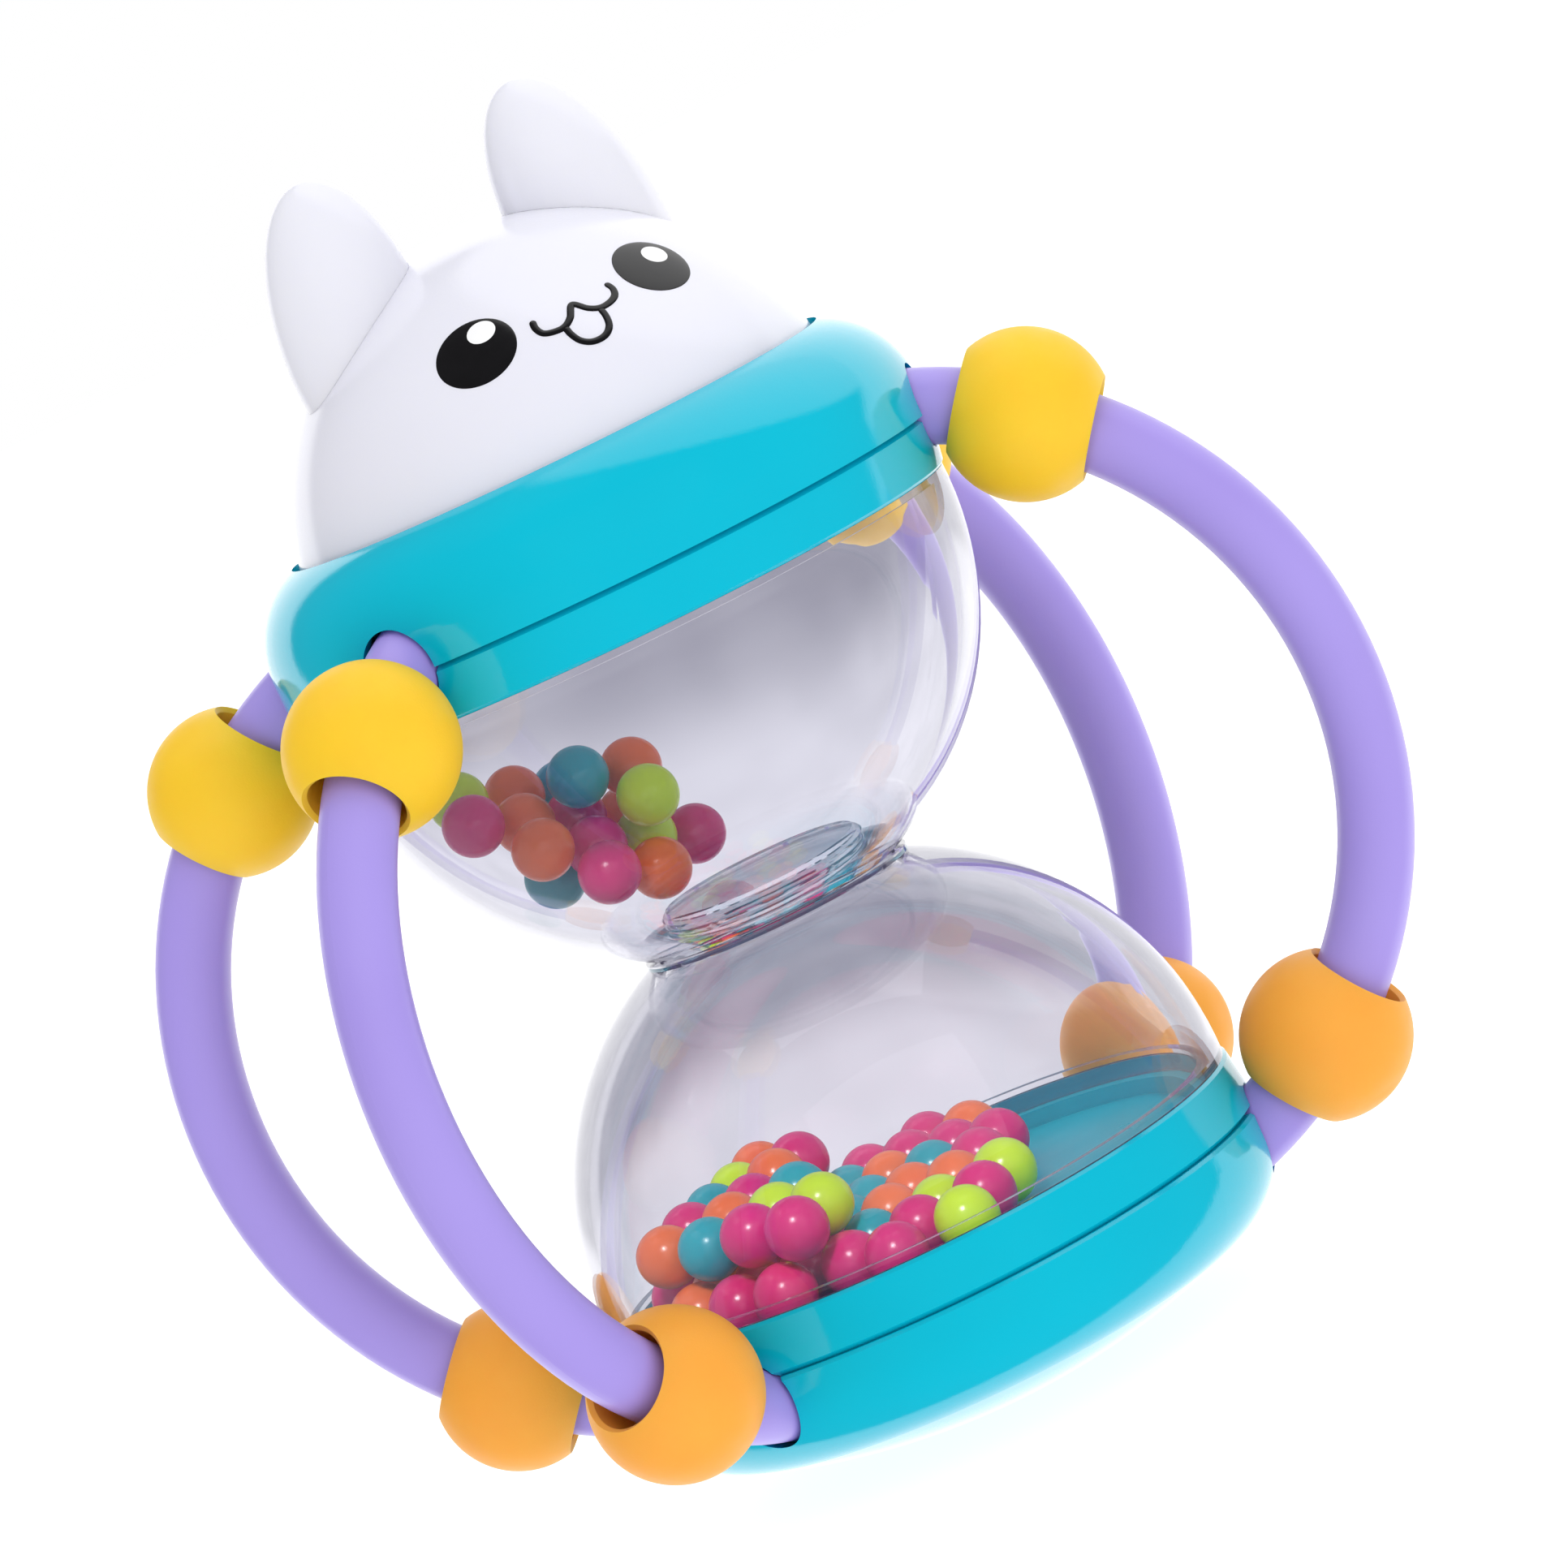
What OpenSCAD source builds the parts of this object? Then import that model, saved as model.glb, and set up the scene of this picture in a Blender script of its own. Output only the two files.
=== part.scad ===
// Hourglass baby rattle with a bunny head, four curved grip tubes, sliding beads and loose pellets.
// Millimetres, +Z up, face towards -Y. Origin: centre of the flat spot under the base.

/* [Hourglass] */
// Height of the waist above the flat spot under the base
waist_z = 63.4; // [60:0.1:66]
// Outer radius of each clear dome
dome_r = 39.9; // [39:0.1:40]
// Distance of each dome's centre from the waist
dome_offset = 36.8; // [36:0.1:37.4]
// Wall thickness of the clear domes
dome_wall = 2.0; // [1.8:0.1:2.2]
// Outer radius of the waist
neck_r = 16.9; // [16.5:0.1:17.4]

/* [Collar and base] */
// Distance of the teal rims from the waist
rim_offset = 38.4; // [38.3:0.1:38.6]
// Distance of both seams from the waist
seam_offset = 45; // [44.6:0.1:45.4]
// Outer radius of the rim rings where they meet the domes
rim_edge_r = 40.2; // [40.1:0.1:40.6]
// Outer radius of the rim rings at the seams
rim_seam_r = 41.1; // [40.9:0.1:41.3]
// Largest radius of the upper collar
collar_r = 41.6; // [41.4:0.1:42]
// Radius of the collar's rounded shoulder
shoulder_r = 12; // [11.5:0.1:12.5]
// Radius of the opening that the head stands in
lip_r = 33.9; // [33.9:0.1:34.2]
// Largest radius of the base bowl
bowl_r = 41.3; // [41.1:0.1:41.6]
// Radius of the bowl's rounded side
bowl_side_r = 10.8; // [10.6:0.1:11]
// Radius of the bowl's shallow underside
bowl_bottom_r = 92; // [91:0.5:94]
// Radius of the flat spot that the rattle stands on
foot_r = 12; // [10:0.5:13]
// Wall thickness of the collar and the bowl
shell_wall = 2.0; // [1.8:0.1:2]

/* [Head] */
// Radius of the head
head_r = 33.6; // [33:0.1:33.7]
// Distance of the head's centre from the waist
head_offset = 53.25; // [53:0.05:53.5]
// Wall thickness of the head shell
head_wall = 2.2; // [1.8:0.1:2.6]
// Half width, half depth and half length of an ear
ear_size = [9.1, 7.4, 19]; // [5:0.1:22]
// Distance of each ear's centre from the middle
ear_x = 16; // [15:0.1:17]
// Distance of each ear's centre from the waist
ear_offset = 81.15; // [80:0.05:83]
// Inward lean of each ear
ear_lean = 5.7; // [0:0.1:10]

/* [Handles and beads] */
// Diameter of the grip tubes
handle_d = 9; // [8.6:0.1:9.2]
// Radius of each handle's arc
arc_r = 50.4; // [50:0.1:51]
// Distance of the arc's centre from the rattle's axis
arc_centre_r = 21.6; // [21.2:0.1:22]
// Drop of the arc's centre below the waist
arc_drop = 0.85; // [0.5:0.05:1]
// Angle of each handle from the left-right line
handle_angle = 30; // [25:1:35]
// Diameter of the big beads
bead_d = 20.4; // [19.8:0.1:20.6]
// Length of the big beads along their bore
bead_length = 16.2; // [15.6:0.1:16.6]
// Diameter of the bead's bore
bead_bore_d = 11.4; // [11.2:0.1:11.8]
// Rest angles of the yellow beads: front left, front right, back right, back left
top_rest = [54.1, 53.6, 53, 51.8]; // [40:0.1:54.2]
// Rest angles of the orange beads, below the arc's centre, in the same order
bottom_rest = [51.8, 52.8, 51.4, 50.8]; // [40:0.1:53.8]

/* [Pellets] */
// Diameter of the loose pellets
pellet_d = 7.5; // [7:0.1:7.6]
// Lean of the upper pile away from straight down
upper_lean = 40; // [34:1:42]
// Direction that the upper pile has run to, from +X
upper_azimuth = 140; // [0:5:355]
// Lean of the lower pile's surface
lower_lean = 17; // [15:1:22]
// Direction that the lower pile has run to, from +X
lower_azimuth = 160; // [0:5:355]
// Distance of the lower pile's surface from the waist, on the axis
lower_level = 34.5; // [33.5:0.5:36]

/* [Hidden] */
$fn = 96;
fit_gap = 0.1;
thin = 0.01;

seam_bottom = waist_z - seam_offset;
arc_z = waist_z - arc_drop;
handle_r = handle_d / 2;
// Clearance of the tubes in the rings and in the arches above and below them
ring_clearance = 0.25;
arch_clearance = 0.6;
// The tubes run on inside the collar and the base, to a retaining disc
end_angle = 77.4;
end_disc_r = 5;
end_disc_h = 2;
end_disc_lap = 0.5;
// Angles along an arc between which the arches and the ring holes are cut
cut_from = 55;
cut_to = 80;

// The spigots of the domes, inside the rim rings
spigot_r = 38.4;
spigot_wall = 1.8;
spigot_end = 40.4;
ring_bore_r = spigot_r + 0.2;
seam_chamfer = 0.4;
// Depth and height of the rings' bevel at the seams
seam_bevel = [0.9, 0.7];
shoulder_offset = rim_offset + 10.25;
neck_bore_r = 13.2;
// Wall thickness of the sleeve that joins the two domes
neck_wall = 1.6;
neck_sleeve_h = 1.4;
// The clear plug that parts the chambers: it rises from the waist and is ringed with grooves
plug_bottom = 1;
plug_plain = 0.8;
plug_rings = 4;
plug_bevel = 0.9;
ring_pitch = 0.9;
ring_depth = 0.35;
plug_r = neck_bore_r - fit_gap;
plug_top = plug_plain + plug_rings * ring_pitch;

// Angle of each handle about the axis: front left, front right, back right, back left
SIDE_ANGLES = [180 + handle_angle, -handle_angle, handle_angle, 180 - handle_angle];

// The head's hidden flange, under the collar's lip, and the pegs of the ears
flange_r = 35.4;
flange_z = 0.75;
flange_h = 1.6;
peg_r = 3;
peg_depth = 7;
peg_length = 10;

// The lower chamber's floor pan
pan_depth = 2;
pan_wall = 1.4;
pan_r = 36.4;
pan_flange_r = 37;
pan_flange_h = 1.6;

// Loose packing of the pellets: each may be off its place by the jitter each way, and none touches another
pellet_r = pellet_d / 2;
pellet_jitter = 0.28;
pellet_pitch = pellet_d + 1;
row_h = pellet_pitch * sqrt(3) / 2;
layer_h = pellet_pitch * sqrt(2 / 3);
scatter_start = 500;
chamber_r = dome_r - dome_wall - pellet_r - fit_gap;
pan_floor_z = waist_z - spigot_end - pan_depth + pellet_jitter + thin;
// Size of the upper heap: rows each way, radius of each layer, and its place in the dome's hollow
heap_rows = 4;
heap_reach = [5, 17.3, 8.5];
heap_shift = [2.5, 1.7];
heap_bottom = 0.4;
// Rows of the lower pile each way, and the turn of its rows
pile_rows = 5;
pile_turn = 48;
// Shares of the colours, summed: magenta, coral, teal
COLOUR_LIMITS = [0.42, 0.67, 0.86];
// Where the scatter of the colours starts: upper pellets, lower pellets
colour_start = [1389, 3717];

// ---- shared shapes ----

// Places children at one handle's angle about the axis, at the height of the arcs' centre
module at_side(side) {
    translate([0, 0, arc_z]) rotate([0, 0, SIDE_ANGLES[side]]) children();
}

// Solid tube of radius r along a handle's arc, from one angle to another
module arc_tube(r, from, to) {
    translate([arc_centre_r, 0, 0])
        rotate([90, 0, 0])
            rotate([0, 0, from])
                rotate_extrude(angle = to - from)
                    translate([arc_r, 0]) circle(r);
}

// The space that a tube needs where it enters the collar or the base
module tube_clearance(extra) {
    for (side = [0:3])
        at_side(side)
            for (sign = [-1, 1])
                arc_tube(handle_r + extra, sign > 0 ? cut_from : -cut_to, sign > 0 ? cut_to : -cut_from);
}

// Shapes that are the same above and below the waist are drawn above it and mirrored
module above_waist() {
    translate([0, 0, waist_z]) children();
}

module below_waist() {
    translate([0, 0, waist_z]) mirror([0, 0, 1]) children();
}

// ---- clear hourglass ----

// One clear dome: a ball shell open at the waist, with a spigot that plugs into its rim ring
module dome_body() {
    difference() {
        union() {
            intersection() {
                translate([0, 0, dome_offset]) sphere(dome_r);
                translate([0, 0, thin]) cylinder(r = dome_r + 1, h = rim_offset - thin);
            }
            translate([0, 0, rim_offset - dome_wall])
                cylinder(r = spigot_r, h = spigot_end - rim_offset + dome_wall);
        }
        intersection() {
            translate([0, 0, dome_offset]) sphere(dome_r - dome_wall);
            cylinder(r = dome_r, h = rim_offset - dome_wall / 2);
        }
        cylinder(r = neck_bore_r + neck_wall, h = neck_sleeve_h);
        cylinder(r = neck_bore_r, h = dome_offset);
        translate([0, 0, dome_offset]) cylinder(r = spigot_r - spigot_wall, h = dome_r);
    }
}

module upper_dome() {
    color([0.86, 0.86, 0.93, 0.35]) {
        above_waist() {
            dome_body();
            translate([0, 0, -neck_sleeve_h])
                difference() {
                    cylinder(r = neck_bore_r + neck_wall, h = 2 * neck_sleeve_h);
                    translate([0, 0, -1]) cylinder(r = neck_bore_r, h = 2 * neck_sleeve_h + 2);
                }
        }
    }
}

module lower_dome() {
    color([0.86, 0.86, 0.93, 0.35])
        difference() {
            union() {
                below_waist() dome_body();
                above_waist()
                    translate([0, 0, -neck_sleeve_h]) cylinder(r = neck_r, h = neck_sleeve_h);
            }
            above_waist()
                translate([0, 0, -neck_sleeve_h - fit_gap])
                    cylinder(r = neck_bore_r + neck_wall + fit_gap, h = 2 * neck_sleeve_h);
            above_waist()
                translate([0, 0, -dome_offset]) cylinder(r = neck_bore_r, h = dome_offset);
        }
}

// Clear plug that closes the waist, so that each chamber keeps its own pellets
module neck_divider() {
    color([0.86, 0.86, 0.93, 0.35])
        above_waist()
            rotate_extrude()
                polygon([
                    [0, -plug_bottom],
                    [plug_r, -plug_bottom],
                    for (k = [0:plug_rings - 1]) each [
                        [plug_r, plug_plain + k * ring_pitch],
                        [plug_r - ring_depth, plug_plain + (k + 0.5) * ring_pitch]
                    ],
                    [plug_r - plug_bevel, plug_top],
                    [0, plug_top]
                ]);
}

// ---- collar ----

// Rim ring: a tapered band with its lower edge at the dome and its upper edge at the seam
module rim_ring() {
    difference() {
        rotate_extrude()
            polygon([
                [ring_bore_r, rim_offset],
                [rim_edge_r - seam_chamfer, rim_offset],
                [rim_edge_r, rim_offset + seam_chamfer],
                [rim_seam_r, seam_offset - seam_bevel[1]],
                [rim_seam_r - seam_bevel[0], seam_offset],
                [ring_bore_r, seam_offset]
            ]);
        translate([0, 0, -waist_z]) children();
    }
}

module collar_ring() {
    color("#1fbcd4")
        above_waist() rim_ring() tube_clearance(ring_clearance);
}

// Outline of the upper collar, grown inwards by a wall thickness
module collar_outline(inset) {
    translate([0, seam_offset]) square([collar_r - inset, shoulder_offset - seam_offset]);
    translate([collar_r - shoulder_r, shoulder_offset])
        intersection() {
            circle(shoulder_r - inset);
            square(shoulder_r);
        }
    translate([0, shoulder_offset]) square([collar_r - shoulder_r, shoulder_r - inset]);
}

module collar_upper() {
    color("#1fbcd4")
        difference() {
            above_waist()
                rotate_extrude()
                    difference() {
                        collar_outline(0);
                        translate([0, -thin]) collar_outline(shell_wall);
                        square([lip_r, 2 * head_offset]);
                        translate([collar_r - seam_chamfer, seam_offset - seam_chamfer])
                            rotate(45) square(seam_chamfer);
                    }
            tube_clearance(arch_clearance);
        }
}

// White disc that closes the upper chamber, plugged into the dome's spigot
module upper_lid() {
    color("#eeeef6")
        above_waist()
            union() {
                translate([0, 0, spigot_end]) cylinder(r = pan_flange_r, h = pan_flange_h);
                translate([0, 0, spigot_end - pan_depth])
                    difference() {
                        cylinder(r = pan_r, h = pan_depth + thin);
                        translate([0, 0, -1]) cylinder(r = pan_r - pan_wall, h = pan_depth + 1);
                    }
            }
}

// ---- head ----

module ear_place(side) {
    translate([side * ear_x, 0, waist_z + ear_offset]) rotate([0, -side * ear_lean, 0]) children();
}

// Peg that holds an ear in the head shell
module ear_peg(extra) {
    translate([0, 0, -peg_depth]) cylinder(r = peg_r + extra, h = peg_length);
}

module ear(side) {
    color("#f2f2f8") {
        difference() {
            ear_place(side) scale(ear_size) sphere(1);
            translate([0, 0, waist_z + head_offset]) sphere(head_r + thin);
        }
        ear_place(side) ear_peg(0);
    }
}

module head_shell() {
    color("#f0f0f8")
        difference() {
            translate([0, 0, waist_z + head_offset])
                difference() {
                    union() {
                        intersection() {
                            sphere(head_r);
                            translate([0, 0, flange_z]) cylinder(r = flange_r, h = head_r);
                        }
                        translate([0, 0, flange_z]) cylinder(r = flange_r, h = flange_h);
                    }
                    sphere(head_r - head_wall);
                }
            for (side = [-1, 1])
                ear_place(side) ear_peg(fit_gap);
        }
}

// ---- base ----

module base_ring() {
    color("#1fbcd4")
        translate([0, 0, waist_z])
            mirror([0, 0, 1])
                rim_ring()
                    translate([0, 0, waist_z])
                        mirror([0, 0, 1])
                            translate([0, 0, -waist_z]) tube_clearance(ring_clearance);
}

// Height of the centre of the shallow underside, above the flat spot
function bottom_centre_z() = sqrt(pow(bowl_bottom_r, 2) - pow(foot_r, 2));

// Height of the centre of the bowl's rounded side
function side_centre_z() =
    bottom_centre_z() - sqrt(pow(bowl_bottom_r - bowl_side_r, 2) - pow(bowl_r - bowl_side_r, 2));

// Outline of the bowl, grown inwards by a wall thickness
module bowl_outline(inset) {
    side_r = bowl_side_r - inset;
    corner_r = bowl_r - bowl_side_r;
    translate([corner_r, side_centre_z()]) circle(side_r);
    translate([0, side_centre_z()]) square([bowl_r - inset, seam_bottom - side_centre_z()]);
    meeting_r = corner_r * (bowl_bottom_r - inset) / (bowl_bottom_r - bowl_side_r);
    intersection() {
        translate([0, bottom_centre_z()]) circle(bowl_bottom_r - inset, $fn = 360);
        translate([0, inset]) square([meeting_r, seam_bottom]);
    }
}

module base_bowl() {
    color("#1fbcd4")
        difference() {
            rotate_extrude()
                difference() {
                    intersection() {
                        bowl_outline(0);
                        square([bowl_r, seam_bottom]);
                    }
                    translate([0, thin]) bowl_outline(shell_wall);
                    translate([bowl_r, seam_bottom - seam_chamfer]) rotate(45) square(seam_chamfer * 1.5);
                }
            tube_clearance(arch_clearance);
        }
}

// Teal pan that the lower pellets lie in, under the lower dome's spigot
module chamber_floor() {
    color("#1fbcd4")
        below_waist()
            difference() {
                union() {
                    translate([0, 0, spigot_end]) cylinder(r = pan_flange_r, h = pan_flange_h);
                    translate([0, 0, spigot_end]) cylinder(r = pan_r, h = pan_depth + pan_wall);
                }
                translate([0, 0, spigot_end - 1]) cylinder(r = pan_r - pan_wall, h = pan_depth + 1);
            }
}

// ---- handles and beads ----

module handle(side) {
    color("#a896e1")
        at_side(side) {
            arc_tube(handle_r, -end_angle, end_angle);
            for (sign = [0, 1])
                mirror([0, 0, sign])
                    translate([arc_centre_r + arc_r * cos(end_angle), 0, arc_r * sin(end_angle)])
                        rotate([0, -end_angle, 0])
                            translate([0, 0, -end_disc_lap])
                                cylinder(r = end_disc_r, h = end_disc_h + end_disc_lap);
        }
}

// Bead at an angle along a handle's arc, its bore along the tube
module bead(side, angle) {
    edge = 0.5;
    at_side(side)
        translate([arc_centre_r + arc_r * cos(angle), 0, arc_r * sin(angle)])
            rotate([0, -angle, 0])
                difference() {
                    intersection() {
                        sphere(bead_d / 2);
                        cylinder(r = bead_d, h = bead_length, center = true);
                    }
                    cylinder(d = bead_bore_d, h = bead_d, center = true);
                    for (sign = [0, 1])
                        mirror([0, 0, sign])
                            translate([0, 0, bead_length / 2 - edge])
                                cylinder(d1 = bead_bore_d, d2 = bead_bore_d + 4 * edge, h = 2 * edge);
                }
}

module yellow_bead(side) {
    color("#f6c939") bead(side, top_rest[side]);
}

module orange_bead(side) {
    color("#f9a948") bead(side, -bottom_rest[side]);
}

// ---- pellets ----

// Steady scatter between 0 and 1 for a whole number
function scatter(n) = let (s = sin(n * 127.1 + 31.7) * 4375.85) s - floor(s);

// Number of a lattice place, counted layer by layer and row by row
function place_number(i, j, k, reach) =
    let (rows = 2 * reach + 1) (k * rows + j + reach) * rows + i + reach + 1;

// Centre of a pellet in loose layers of close-packed rows, each pellet a little off its place
function loose_place(i, j, k, reach) = let (n = 3 * place_number(i, j, k, reach) + scatter_start) [
    (i + (abs(j) % 2) / 2 + (k % 2) / 2) * pellet_pitch + (2 * scatter(n) - 1) * pellet_jitter,
    (j + (k % 2) / 3) * row_h + (2 * scatter(n + 1) - 1) * pellet_jitter,
    k * layer_h + (2 * scatter(n + 2) - 1) * pellet_jitter
];

// A point turned about the axis
function turned(p, angle) = [
    p[0] * cos(angle) - p[1] * sin(angle),
    p[0] * sin(angle) + p[1] * cos(angle),
    p[2]
];

// A point leaned over towards +X
function leaned(p, angle) = [
    p[0] * cos(angle) - p[2] * sin(angle),
    p[1],
    p[0] * sin(angle) + p[2] * cos(angle)
];

// Pellets in the upper dome: a small heap in the dome's hollow, leaned over as one and kept off the plug
UPPER_POINTS = [
    for (k = [0:2], j = [-heap_rows:heap_rows], i = [-heap_rows:heap_rows])
        let (
            p = loose_place(i, j, k, heap_rows) + [heap_shift[0], heap_shift[1], heap_bottom - chamber_r],
            q = turned(leaned(p, upper_lean), upper_azimuth) + [0, 0, waist_z + dome_offset]
        )
            if (norm([p[0], p[1]]) < heap_reach[k] && norm(p) < chamber_r && clear_of_plug(q)) q
];

function clear_of_plug(p) =
    p[2] - waist_z > plug_top + pellet_r + fit_gap || norm([p[0], p[1]]) > neck_bore_r + pellet_r + fit_gap;

// Pellets in the lower dome: layers on the pan, kept inside the dome and below the pile's leaning surface
LOWER_POINTS = [
    for (k = [0:3], j = [-pile_rows:pile_rows], i = [-pile_rows:pile_rows])
        let (p = turned(loose_place(i, j, k, pile_rows), pile_turn) + [0, 0, pan_floor_z + pellet_r])
            if (in_lower_dome(p) && below_surface(p)) p
];

function in_lower_dome(p) =
    norm(p - [0, 0, waist_z - dome_offset]) < chamber_r
    && norm([p[0], p[1]]) < pan_r - pan_wall - pellet_r - fit_gap;

function below_surface(p) =
    p[2] - waist_z + lower_level < (p[0] * cos(lower_azimuth) + p[1] * sin(lower_azimuth)) * tan(lower_lean);

// Colour number of a pellet: mostly magenta, then coral, teal and lime
function pellet_colour(n, start) =
    let (s = scatter(n + start)) len([for (limit = COLOUR_LIMITS) if (s >= limit) 1]);

module pellets(points, start, colour) {
    for (n = [0:len(points) - 1])
        if (pellet_colour(n, start) == colour)
            translate(points[n]) sphere(pellet_r);
}

module upper_pellets(colour) {
    pellets(UPPER_POINTS, colour_start[0], colour);
}

module lower_pellets(colour) {
    pellets(LOWER_POINTS, colour_start[1], colour);
}

head_shell();
ear(-1);  // ear_left
ear(1);  // ear_right
collar_upper();
collar_ring();
upper_lid();
upper_dome();
neck_divider();
lower_dome();
chamber_floor();
base_ring();
base_bowl();
handle(0);  // handle_front_left
handle(1);  // handle_front_right
handle(2);  // handle_back_right
handle(3);  // handle_back_left
yellow_bead(0);  // yellow_bead_front_left
yellow_bead(1);  // yellow_bead_front_right
yellow_bead(2);  // yellow_bead_back_right
yellow_bead(3);  // yellow_bead_back_left
orange_bead(0);  // orange_bead_front_left
orange_bead(1);  // orange_bead_front_right
orange_bead(2);  // orange_bead_back_right
orange_bead(3);  // orange_bead_back_left
color("#c83278") upper_pellets(0);  // upper_pellets_magenta
color("#e17d50") upper_pellets(1);  // upper_pellets_coral
color("#2d9ba5") upper_pellets(2);  // upper_pellets_teal
color("#bee146") upper_pellets(3);  // upper_pellets_lime
color("#c83278") lower_pellets(0);  // lower_pellets_magenta
color("#e17d50") lower_pellets(1);  // lower_pellets_coral
color("#2d9ba5") lower_pellets(2);  // lower_pellets_teal
color("#bee146") lower_pellets(3);  // lower_pellets_lime
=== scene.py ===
from math import cos, pi, radians, sin, sqrt

import bpy
from mathutils import Matrix, Vector


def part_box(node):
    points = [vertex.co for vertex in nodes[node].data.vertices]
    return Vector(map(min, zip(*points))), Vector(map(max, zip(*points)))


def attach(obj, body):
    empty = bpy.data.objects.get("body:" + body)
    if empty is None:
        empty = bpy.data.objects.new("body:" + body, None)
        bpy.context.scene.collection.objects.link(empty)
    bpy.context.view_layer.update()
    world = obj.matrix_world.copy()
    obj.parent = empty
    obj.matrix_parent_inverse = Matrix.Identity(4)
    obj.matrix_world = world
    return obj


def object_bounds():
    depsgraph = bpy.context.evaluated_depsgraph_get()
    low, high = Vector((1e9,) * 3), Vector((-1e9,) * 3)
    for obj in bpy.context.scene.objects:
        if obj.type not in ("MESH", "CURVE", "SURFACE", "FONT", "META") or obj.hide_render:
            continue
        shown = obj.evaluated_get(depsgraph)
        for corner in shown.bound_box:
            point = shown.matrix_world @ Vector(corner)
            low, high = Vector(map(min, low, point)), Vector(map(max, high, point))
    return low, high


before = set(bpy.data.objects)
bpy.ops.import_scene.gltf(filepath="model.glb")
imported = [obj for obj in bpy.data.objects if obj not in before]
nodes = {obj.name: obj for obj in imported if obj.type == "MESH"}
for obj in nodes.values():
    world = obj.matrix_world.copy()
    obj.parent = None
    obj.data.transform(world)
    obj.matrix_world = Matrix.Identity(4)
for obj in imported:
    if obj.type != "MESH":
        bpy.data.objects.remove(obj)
cad_low, cad_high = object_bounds()

# Driving dimensions, in metres
HEAD_R = 0.0336
SHELL = "rattle_body"

# The head is a ball whose top is the top of its shell, with the printed face on its surface
head_low, head_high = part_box("head_shell")
HEAD_CENTRE = Vector(((head_low.x + head_high.x) / 2, (head_low.y + head_high.y) / 2, head_high.z - HEAD_R))


# ---- camera ----

VIEW_TURN = radians(19.99)
VIEW_PITCH = radians(6.149)
VIEW_ROLL = radians(25.74)
VIEW_DISTANCE = 0.8994
VIEW_LENS = 176.17
AIM = Vector((0.00654, -0.00238, 0.07561))
# Enough bounces for light to pass all the walls of the domes, the neck plug and back
GLASS_BOUNCES = 24

forward = Vector((sin(VIEW_TURN) * cos(VIEW_PITCH), cos(VIEW_TURN) * cos(VIEW_PITCH), -sin(VIEW_PITCH)))
level_right = Vector((cos(VIEW_TURN), -sin(VIEW_TURN), 0))
level_up = level_right.cross(forward)
camera_up = level_up * cos(VIEW_ROLL) + level_right * sin(VIEW_ROLL)
camera_right = forward.cross(camera_up)

camera = bpy.data.objects.new("camera", bpy.data.cameras.new("camera"))
camera.data.lens = VIEW_LENS
camera.data.sensor_width = 36
camera.data.clip_start = 0.05
camera.data.clip_end = 50
turn = Matrix((camera_right, camera_up, -forward)).transposed()
camera.matrix_world = Matrix.Translation(AIM - forward * VIEW_DISTANCE) @ turn.to_4x4()
bpy.context.scene.collection.objects.link(camera)
bpy.context.scene.camera = camera
bpy.context.scene.view_settings.view_transform = "Standard"
bpy.context.scene.cycles.max_bounces = GLASS_BOUNCES
bpy.context.scene.cycles.transmission_bounces = GLASS_BOUNCES


# ---- materials ----

def linear(r, g, b):
    """A colour given as 0 to 255 on a screen, as the linear values that shaders take."""
    return tuple(((c / 255 + 0.055) / 1.055) ** 2.4 if c > 10 else c / 255 / 12.92 for c in (r, g, b)) + (1,)


class Surface:
    """A Principled material, with helpers that add the nodes for its detail."""

    def __init__(self, name, **values):
        self.material = bpy.data.materials.new(name)
        self.material.use_nodes = True
        self.tree = self.material.node_tree
        self.shader = self.tree.nodes["Principled BSDF"]
        self.place = self.tree.nodes.new("ShaderNodeTexCoord").outputs["Object"]
        self.normal = None
        for key, value in values.items():
            self.shader.inputs[key.replace("_", " ")].default_value = value

    def link(self, source, target):
        self.tree.links.new(source, target)

    def noise(self, size, detail=3, rough=0.5):
        """Noise whose blobs are about size metres across."""
        node = self.tree.nodes.new("ShaderNodeTexNoise")
        node.inputs["Scale"].default_value = 1 / size
        node.inputs["Detail"].default_value = detail
        node.inputs["Roughness"].default_value = rough
        self.link(self.place, node.inputs["Vector"])
        return node.outputs["Fac"]

    def spread(self, value, low, high, start=0.3, stop=0.7):
        """The value between start and stop, spread over low to high."""
        node = self.tree.nodes.new("ShaderNodeMapRange")
        for key, number in (("From Min", start), ("From Max", stop), ("To Min", low), ("To Max", high)):
            node.inputs[key].default_value = number
        self.link(value, node.inputs["Value"])
        return node.outputs["Result"]

    def colours(self, value, first, second):
        """Base colour running from first to second with the value."""
        node = self.tree.nodes.new("ShaderNodeMix")
        node.data_type = "RGBA"
        node.inputs["A"].default_value = first
        node.inputs["B"].default_value = second
        self.link(value, node.inputs["Factor"])
        self.link(node.outputs["Result"], self.shader.inputs["Base Color"])

    def roughness(self, value, low, high):
        self.link(self.spread(value, low, high), self.shader.inputs["Roughness"])

    def bump(self, value, depth, strength=1.0):
        """Bump whose full height is depth metres, added to any bump already there."""
        node = self.tree.nodes.new("ShaderNodeBump")
        node.inputs["Distance"].default_value = depth
        node.inputs["Strength"].default_value = strength
        self.link(value, node.inputs["Height"])
        if self.normal:
            self.link(self.normal, node.inputs["Normal"])
        self.normal = node.outputs["Normal"]
        self.link(self.normal, self.shader.inputs["Normal"])


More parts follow.
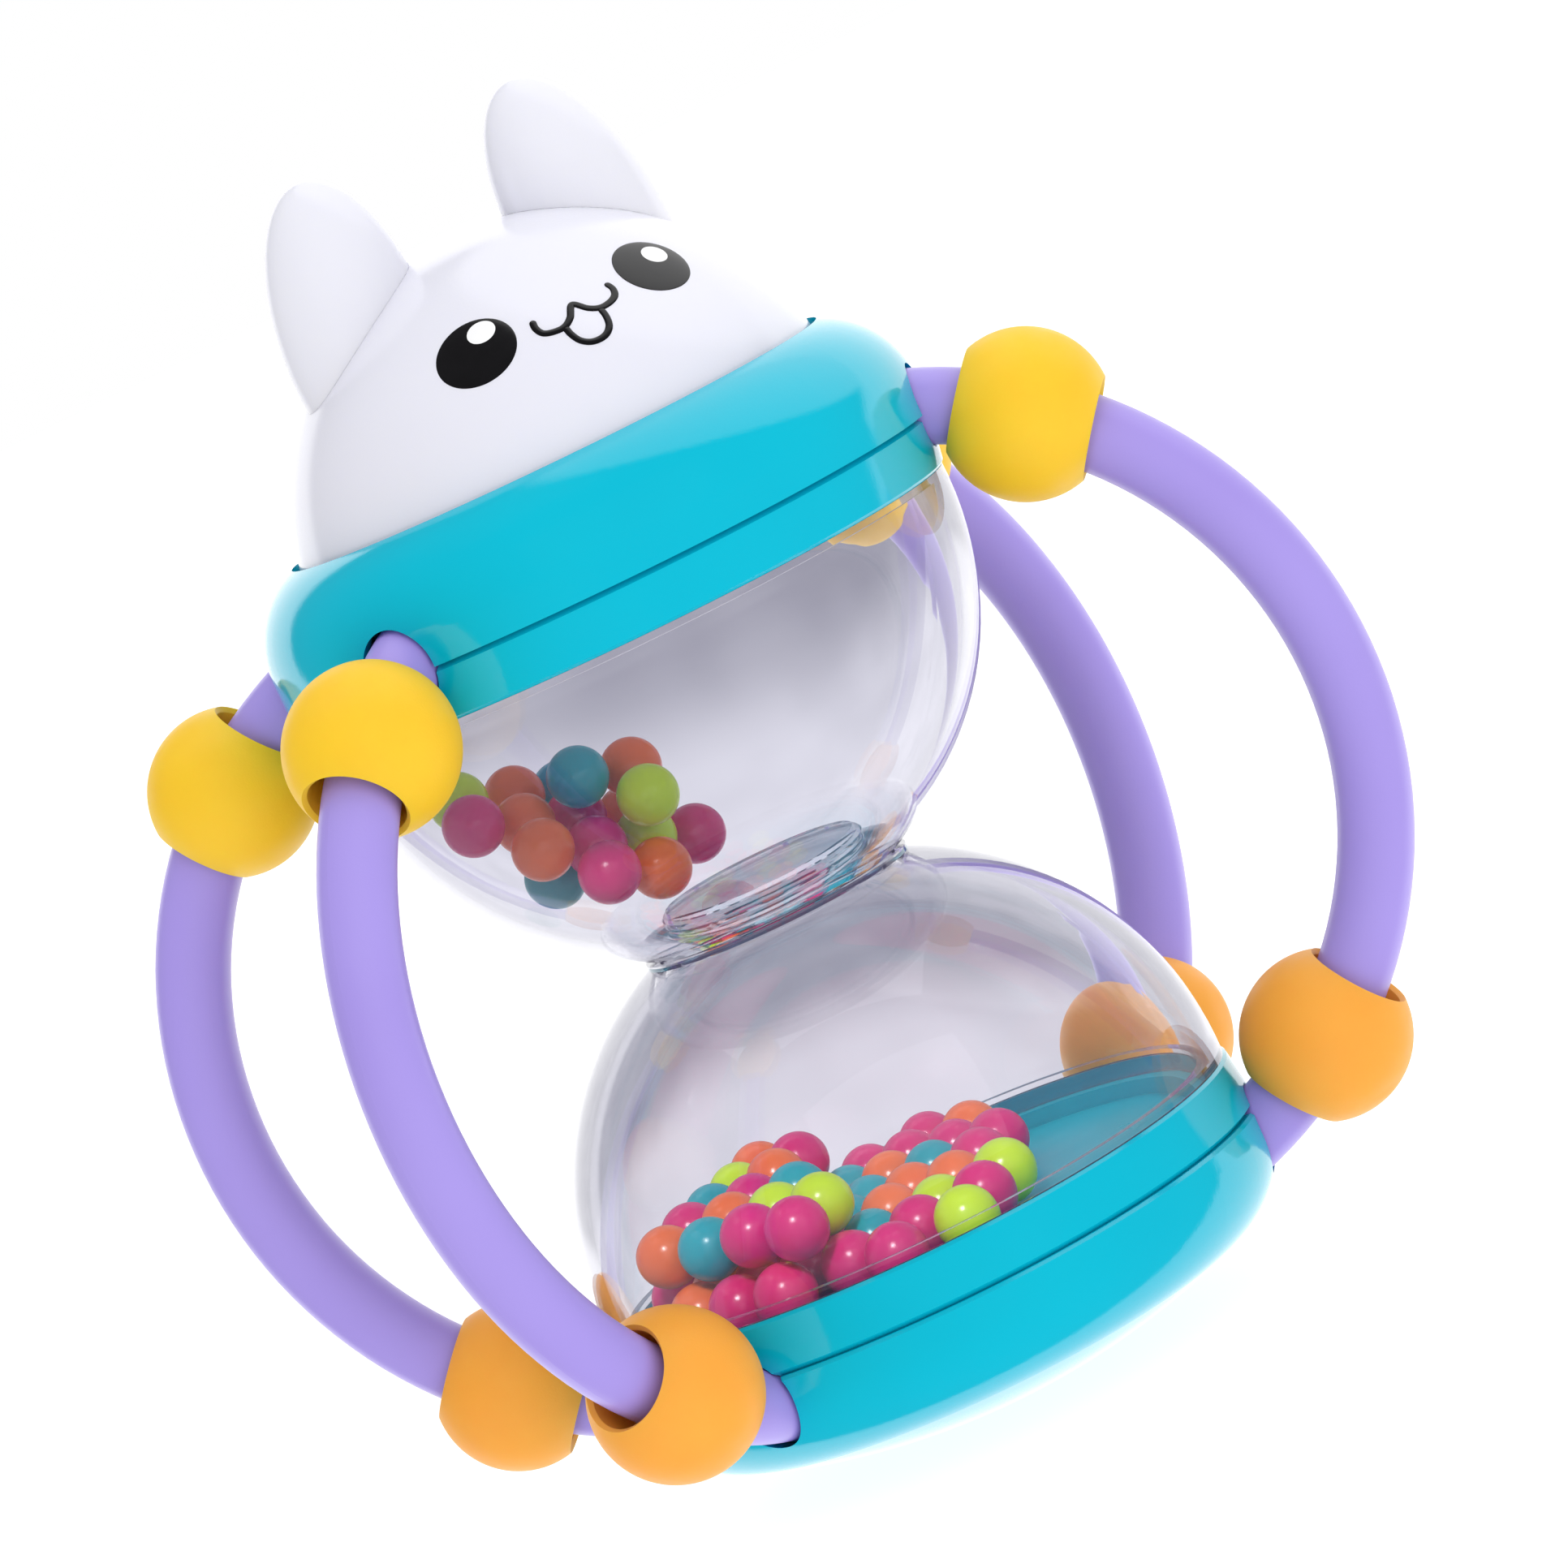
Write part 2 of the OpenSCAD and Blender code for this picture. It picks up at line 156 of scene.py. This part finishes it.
def moulded(name, colour, shade, rough, flow=0.03, grain=0.0004, depth=0.00001, **values):
    """Moulded plastic: a faint flow of tone, patches of handling gloss and a fine surface grain."""
    s = Surface(name, **values)
    s.colours(s.spread(s.noise(flow, 2, 0.5), 0, 1), colour, shade)
    s.roughness(s.noise(flow / 3, 3, 0.5), rough * 0.88, rough * 1.14)
    s.bump(s.noise(flow / 2, 2, 0.4), depth * 6, 0.5)
    s.bump(s.noise(grain, 3, 0.6), depth)
    return s.material


# Lavender painted glow: an emission in the clear plastic that stands in for light caught in its walls, since
# the plastic is no lamp
PAINTED_GLOW = linear(190, 184, 235)


def clear(name, tint, rough):
    """Clear moulded plastic: slight waviness, a haze of rubbing, and a painted glow, a faint emission that
    stands in for light caught in it.
    """
    s = Surface(name, Transmission_Weight=1.0, IOR=1.49, Emission_Color=PAINTED_GLOW, Emission_Strength=0.014)
    s.colours(s.spread(s.noise(0.03, 3), 0, 1), tint, tuple(c * 0.98 for c in tint[:3]) + (1,))
    s.roughness(s.noise(0.012, 6, 0.7), rough * 0.5, rough * 1.6)
    s.bump(s.noise(0.02, 2, 0.4), 0.00004, 0.4)
    return s.material


def pellet(name, colour, shade):
    """Moulded plastic that mirrors little, so that the pellets keep their colour behind the domes."""
    return moulded(name, colour, shade, 0.22, 0.006, Specular_IOR_Level=0.45)


MATERIALS = {
    "white_shell": moulded(
        "white_shell", linear(233, 233, 244), linear(230, 230, 241), 0.16,
        Subsurface_Weight=0.12, Subsurface_Radius=(0.003, 0.003, 0.004), Subsurface_Scale=0.4,
    ),
    "white_ear": moulded(
        "white_ear", linear(235, 235, 244), linear(231, 231, 241), 0.22,
        Subsurface_Weight=0.12, Subsurface_Radius=(0.003, 0.003, 0.004), Subsurface_Scale=0.4,
    ),
    "white_lid": moulded("white_lid", linear(228, 228, 238), linear(222, 222, 233), 0.3),
    "teal_shell": moulded("teal_shell", linear(4, 190, 215), linear(3, 185, 211), 0.07),
    "purple_tube": moulded("purple_tube", linear(172, 154, 235), linear(167, 148, 230), 0.33),
    "yellow_bead": moulded(
        "yellow_bead", linear(254, 205, 34), linear(251, 199, 30), 0.5, 0.01, 0.0003, 0.00002,
        Subsurface_Weight=0.25, Subsurface_Radius=(0.004, 0.002, 0.001), Subsurface_Scale=0.8,
    ),
    "orange_bead": moulded(
        "orange_bead", linear(255, 174, 60), linear(252, 168, 55), 0.5, 0.01, 0.0003, 0.00002,
        Subsurface_Weight=0.25, Subsurface_Radius=(0.004, 0.002, 0.001), Subsurface_Scale=0.8,
    ),
    "pellet_magenta": pellet("pellet_magenta", linear(224, 30, 122), linear(214, 24, 114)),
    "pellet_coral": pellet("pellet_coral", linear(248, 118, 56), linear(240, 110, 50)),
    "pellet_teal": pellet("pellet_teal", linear(10, 168, 182), linear(8, 158, 172)),
    "pellet_lime": pellet("pellet_lime", linear(204, 240, 34), linear(196, 232, 28)),
    "clear_shell": clear("clear_shell", (0.955, 0.952, 0.98, 1), 0.012),
}
# The pan is the same teal plastic as the shell, painted a lighter teal to make up for the light it lacks
# under the domes: painted light
PAINTED_LIGHT_PAN_TEAL = moulded("pan_teal_painted_light", linear(14, 212, 232), linear(10, 206, 226), 0.3, Specular_IOR_Level=0.3)
PRINT_BLACK = moulded("print_black", linear(16, 15, 18), linear(12, 11, 14), 0.2, 0.004, 0.0002, 0.000004)
PRINT_WHITE = moulded(
    "print_white", linear(250, 250, 250), linear(245, 245, 247), 0.14, 0.004, 0.0002, 0.000004,
)

for node in nodes.values():
    node.data.materials[0] = MATERIALS[node.data.materials[0].name]

# The pan gets its lighter, painted-light teal
nodes["chamber_floor"].data.materials[0] = PAINTED_LIGHT_PAN_TEAL

# Clear pieces let the lamps reach what is inside them
for name in ("upper_dome", "lower_dome", "neck_divider"):
    nodes[name].visible_shadow = False


# ---- printed face ----

def on_head(azimuth, elevation, lift=0.0):
    """The point of the head's ball at degrees round from the front and degrees up, lift metres above it."""
    a, e = radians(azimuth), radians(elevation)
    return HEAD_CENTRE + Vector((sin(a) * cos(e), -cos(a) * cos(e), sin(e))) * (HEAD_R + lift)


def mesh_piece(name, points, faces, material):
    mesh = bpy.data.meshes.new(name)
    mesh.from_pydata(points, [], faces)
    mesh.polygons.foreach_set("use_smooth", [True] * len(mesh.polygons))
    mesh.materials.append(material)
    piece = bpy.data.objects.new(name, mesh)
    bpy.context.scene.collection.objects.link(piece)
    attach(piece, SHELL)
    return piece


def printed_spot(name, azimuth, elevation, half_width, half_height, thickness, base, material, turn_by=0.0):
    """An oval drop of print on the head, thickness metres high above base, with a rounded rim."""
    centre = on_head(azimuth, elevation)
    out = (centre - HEAD_CENTRE).normalized()
    side = Vector((0, 0, 1)).cross(out).normalized()
    up = out.cross(side)
    across = side * cos(turn_by) + up * sin(turn_by)
    along = up * cos(turn_by) - side * sin(turn_by)
    around, rings = 64, 16
    points, faces = [], []
    for ring in range(1, 2 * rings):
        share = sin(pi / 2 * ring / rings)
        rise = (1 - share ** 4) ** 0.5 * thickness * (1 if ring < rings else -1)
        for k in range(around):
            t = 2 * pi * k / around
            flat = centre + across * (half_width * share * cos(t)) + along * (half_height * share * sin(t))
            points.append(HEAD_CENTRE + (flat - HEAD_CENTRE).normalized() * (HEAD_R + base + rise))
    points.append(centre + out * (base + thickness))
    points.append(centre + out * (base - thickness))
    for ring in range(2 * rings - 2):
        for k in range(around):
            a, b = ring * around + k, ring * around + (k + 1) % around
            faces.append((a, a + around, b + around, b))
    last = (2 * rings - 2) * around
    for k in range(around):
        faces.append((len(points) - 2, k, (k + 1) % around))
        faces.append((len(points) - 1, last + (k + 1) % around, last + k))
    return mesh_piece(name, points, faces, material)


def smooth_path(points, steps=10):
    """Points of a curve through the given ones."""
    ends = [points[0]] + list(points) + [points[-1]]
    out = []
    for a, b, c, d in zip(ends, ends[1:], ends[2:], ends[3:]):
        for k in range(steps):
            t = k / steps
            out.append(tuple(
                0.5 * (
                    2 * q + (r - p) * t + (2 * p - 5 * q + 4 * r - s) * t * t
                    + (3 * q - p - 3 * r + s) * t ** 3
                )
                for p, q, r, s in zip(a, b, c, d)
            ))
    out.append(tuple(points[-1]))
    return out


def printed_line(name, path, half_width, thickness, material):
    """A rounded line of print along a path of azimuths and elevations on the head."""
    spots = [on_head(*p) for p in smooth_path(path)]
    around = 12
    points, faces = [], []
    length = [0.0]
    for a, b in zip(spots, spots[1:]):
        length.append(length[-1] + (b - a).length)
    for n, spot in enumerate(spots):
        ahead = (spots[min(n + 1, len(spots) - 1)] - spots[max(n - 1, 0)]).normalized()
        out = (spot - HEAD_CENTRE).normalized()
        side = ahead.cross(out).normalized()
        from_end = min(length[n], length[-1] - length[n]) / half_width
        size = sqrt(max(0.02, 1 - (1 - min(from_end, 1)) ** 2))
        for k in range(around):
            t = 2 * pi * k / around
            points.append(spot + side * (half_width * size * cos(t)) + out * (thickness * size * sin(t)))
    for n in range(len(spots) - 1):
        for k in range(around):
            a, b = n * around + k, n * around + (k + 1) % around
            faces.append((a, b, b + around, a + around))
    faces.append(tuple(reversed(range(around))))
    faces.append(tuple(range(len(points) - around, len(points))))
    return mesh_piece(name, points, faces, material)


# Thickness of the print, and half sizes of the eyes, their glints and the lines, in metres
PRINT = 0.0001
EYE_HALF_SIZE = (0.005, 0.0045)
GLINT_HALF_SIZE = (0.0018, 0.0016)
LINE_HALF_WIDTH = 0.00043
# Places on the head in degrees: round from the front, and up
EYE_AZIMUTH, EYE_ELEVATION = 27.2, 39.1
for side, name, glint in ((-1, "left", (3.1, 3.65)), (1, "right", (4.1, 1.7))):
    azimuth = side * EYE_AZIMUTH
    printed_spot(f"eye_{name}", azimuth, EYE_ELEVATION, *EYE_HALF_SIZE, PRINT, 0, PRINT_BLACK)
    printed_spot(
        f"eye_glint_{name}", azimuth + glint[0], EYE_ELEVATION + glint[1], *GLINT_HALF_SIZE,
        PRINT, PRINT / 2, PRINT_WHITE,
    )
MOUTH = (
    (-11, 40), (-11.3, 38), (-10.4, 36.2), (-8.2, 35.4), (-5.2, 35.3), (-2.6, 36.6), (0, 39.2),
    (2.6, 36.8), (5.2, 35.6), (8.2, 35.7), (10.6, 36.6), (11.7, 38.3), (11.3, 40.2),
)
TONGUE = (
    (-5, 35.3), (-4.9, 33.4), (-4, 31.2), (-2.2, 29.8), (0, 29.4),
    (2.2, 29.8), (4, 31.2), (4.9, 33.4), (5, 35.5),
)
printed_line("mouth", MOUTH, LINE_HALF_WIDTH, PRINT, PRINT_BLACK)
printed_line("tongue_line", TONGUE, LINE_HALF_WIDTH, PRINT, PRINT_BLACK)


# ---- floor, studio and light ----

FLOOR_SIZE = 12.0
FLOOR_GAP = 0.00002
floor_mesh = bpy.data.meshes.new("floor")
h = FLOOR_SIZE / 2
floor_mesh.from_pydata([(-h, -h, 0), (h, -h, 0), (h, h, 0), (-h, h, 0)], [], [(0, 1, 2, 3)])
floor = bpy.data.objects.new("floor", floor_mesh)
floor.location.z = cad_low.z - FLOOR_GAP
bpy.context.scene.collection.objects.link(floor)
floor.visible_glossy = False
floor.visible_transmission = False
floor_mesh.materials.append(
    moulded(
        "floor", linear(150, 150, 151), linear(147, 147, 149), 0.7, 0.4, 0.002, 0.00001,
        Emission_Color=(1, 1, 1, 1), Emission_Strength=0.9,
    )
)


def area_light(name, place, target, width, height, power, glossy=True):
    light = bpy.data.lights.new(name, "AREA")
    light.shape = "RECTANGLE"
    light.size = width
    light.size_y = height
    light.energy = power
    lamp = bpy.data.objects.new(name, light)
    lamp.location = place
    lamp.rotation_euler = (Vector(target) - Vector(place)).to_track_quat("-Z", "Y").to_euler()
    lamp.visible_glossy = glossy
    lamp.visible_camera = False
    bpy.context.scene.collection.objects.link(lamp)
    return lamp


MIDDLE = (cad_low + cad_high) / 2
toward_camera = Vector((-sin(VIEW_TURN), -cos(VIEW_TURN), 0))
camera_side = Vector((cos(VIEW_TURN), -sin(VIEW_TURN), 0))
# Places of the lamps from the object's middle, and their powers in watts
TOP_PLACE = Vector((0, 0, 1.1)) - toward_camera * 0.15
FILL_PLACE = toward_camera * 1.2 + camera_side * 0.2 + Vector((0, 0, 0.6))
GLINT_PLACE = toward_camera * 0.8 + Vector((0, 0, 0.7))
SOFT_POWER = 4.5
GLINT_POWER = 6
area_light("top_softbox", MIDDLE + TOP_PLACE, MIDDLE, 1.3, 1.0, SOFT_POWER, False)
area_light("front_fill", MIDDLE + FILL_PLACE, MIDDLE, 1.6, 1.2, SOFT_POWER, False)

# A small light that only glints on the pellets
glint_lamp = area_light("pellet_glint", MIDDLE + GLINT_PLACE, MIDDLE, 0.16, 0.16, GLINT_POWER)
pellets = bpy.data.collections.new("glinting")
for name, node in nodes.items():
    if "pellets" in name:
        pellets.objects.link(node)
glint_lamp.light_linking.receiver_collection = pellets

world = bpy.data.worlds.new("studio")
bpy.context.scene.world = world
world.use_nodes = True
tree = world.node_tree
background = tree.nodes["Background"]
direction = tree.nodes.new("ShaderNodeTexCoord").outputs["Generated"]
path = tree.nodes.new("ShaderNodeLightPath")


def along(vector):
    """How far the ray's direction agrees with the vector, -1 to 1."""
    node = tree.nodes.new("ShaderNodeVectorMath")
    node.operation = "DOT_PRODUCT"
    node.inputs[1].default_value = vector
    tree.links.new(direction, node.inputs[0])
    return node.outputs["Value"]


def levels(value, stops):
    """Colours at the given values from -1 to 1, joined smoothly."""
    shift = tree.nodes.new("ShaderNodeMapRange")
    shift.inputs["From Min"].default_value = -1
    tree.links.new(value, shift.inputs["Value"])
    node = tree.nodes.new("ShaderNodeValToRGB")
    node.color_ramp.interpolation = "EASE"
    tree.links.new(shift.outputs["Result"], node.inputs["Fac"])
    elements = node.color_ramp.elements
    while len(elements) < len(stops):
        elements.new(0.5)
    for element, (at, level) in zip(elements, stops):
        element.position = (at + 1) / 2
        element.color = (level, level, level, 1)
    return node.outputs["Color"]


def joined(first, second, share, blend="MIX"):
    node = tree.nodes.new("ShaderNodeMix")
    node.data_type = "RGBA"
    node.blend_type = blend
    for value, key in ((first, "A"), (second, "B"), (share, "Factor")):
        if isinstance(value, bpy.types.NodeSocket):
            tree.links.new(value, node.inputs[key])
        else:
            node.inputs[key].default_value = value
    return node.outputs["Result"]


# Grey of the room beside and behind the camera, as rays that left through a dome meet it
ROOM = (0.62, 0.62, 0.65, 1)
# What glossy surfaces mirror: a dark room round the camera, with bright walls beyond it and a softbox
dark_way = toward_camera * 0.925 - camera_side * 0.163 + Vector((0, 0, 0.342))
walls = levels(along(dark_way), ((-1, 1.5), (-0.5, 1.5), (-0.44, 0.16), (1, 0.12)))
softbox_way = (camera_side * 0.55 - toward_camera * 0.33 + Vector((0, 0, 0.76))).normalized()
softbox = levels(along(softbox_way), ((-1, 0), (0.76, 0), (0.82, 1.2), (1, 1.4)))
mirrored = joined(walls, softbox, 1.0, "LIGHTEN")
# What is seen through the clear domes: a grey backdrop, lighter low on the right, with soft patches
patches = tree.nodes.new("ShaderNodeTexNoise")
patches.inputs["Scale"].default_value = 30
patches.inputs["Detail"].default_value = 1
tree.links.new(direction, patches.inputs["Vector"])
light_way = camera_right * 0.3 - camera_up * 0.95
BACKDROP_STOPS = ((-1, 0.7), (-0.09, 0.32), (-0.02, 0.34), (0.024, 0.76), (0.08, 0.88), (1, 0.95))
backdrop = levels(along(light_way), BACKDROP_STOPS)
through = joined(backdrop, levels(patches.outputs["Fac"], ((0.3, 0), (0.7, 0.09))), 1.0, "ADD")
through = joined(through, (0.0, 0.0, 0.05, 1), 1.0, "ADD")
through = joined(ROOM, through, levels(along(-toward_camera), ((-1, 0), (0.7, 0), (0.92, 1), (1, 1))))
ambient = levels(along(camera_side), ((-1, 0.52), (0, 0.72), (1, 0.8)))
shown = joined(ambient, mirrored, path.outputs["Is Glossy Ray"])
shown = joined(shown, through, path.outputs["Is Transmission Ray"])
shown = joined(shown, (1, 1, 1, 1), path.outputs["Is Camera Ray"])
tree.links.new(shown, background.inputs["Color"])
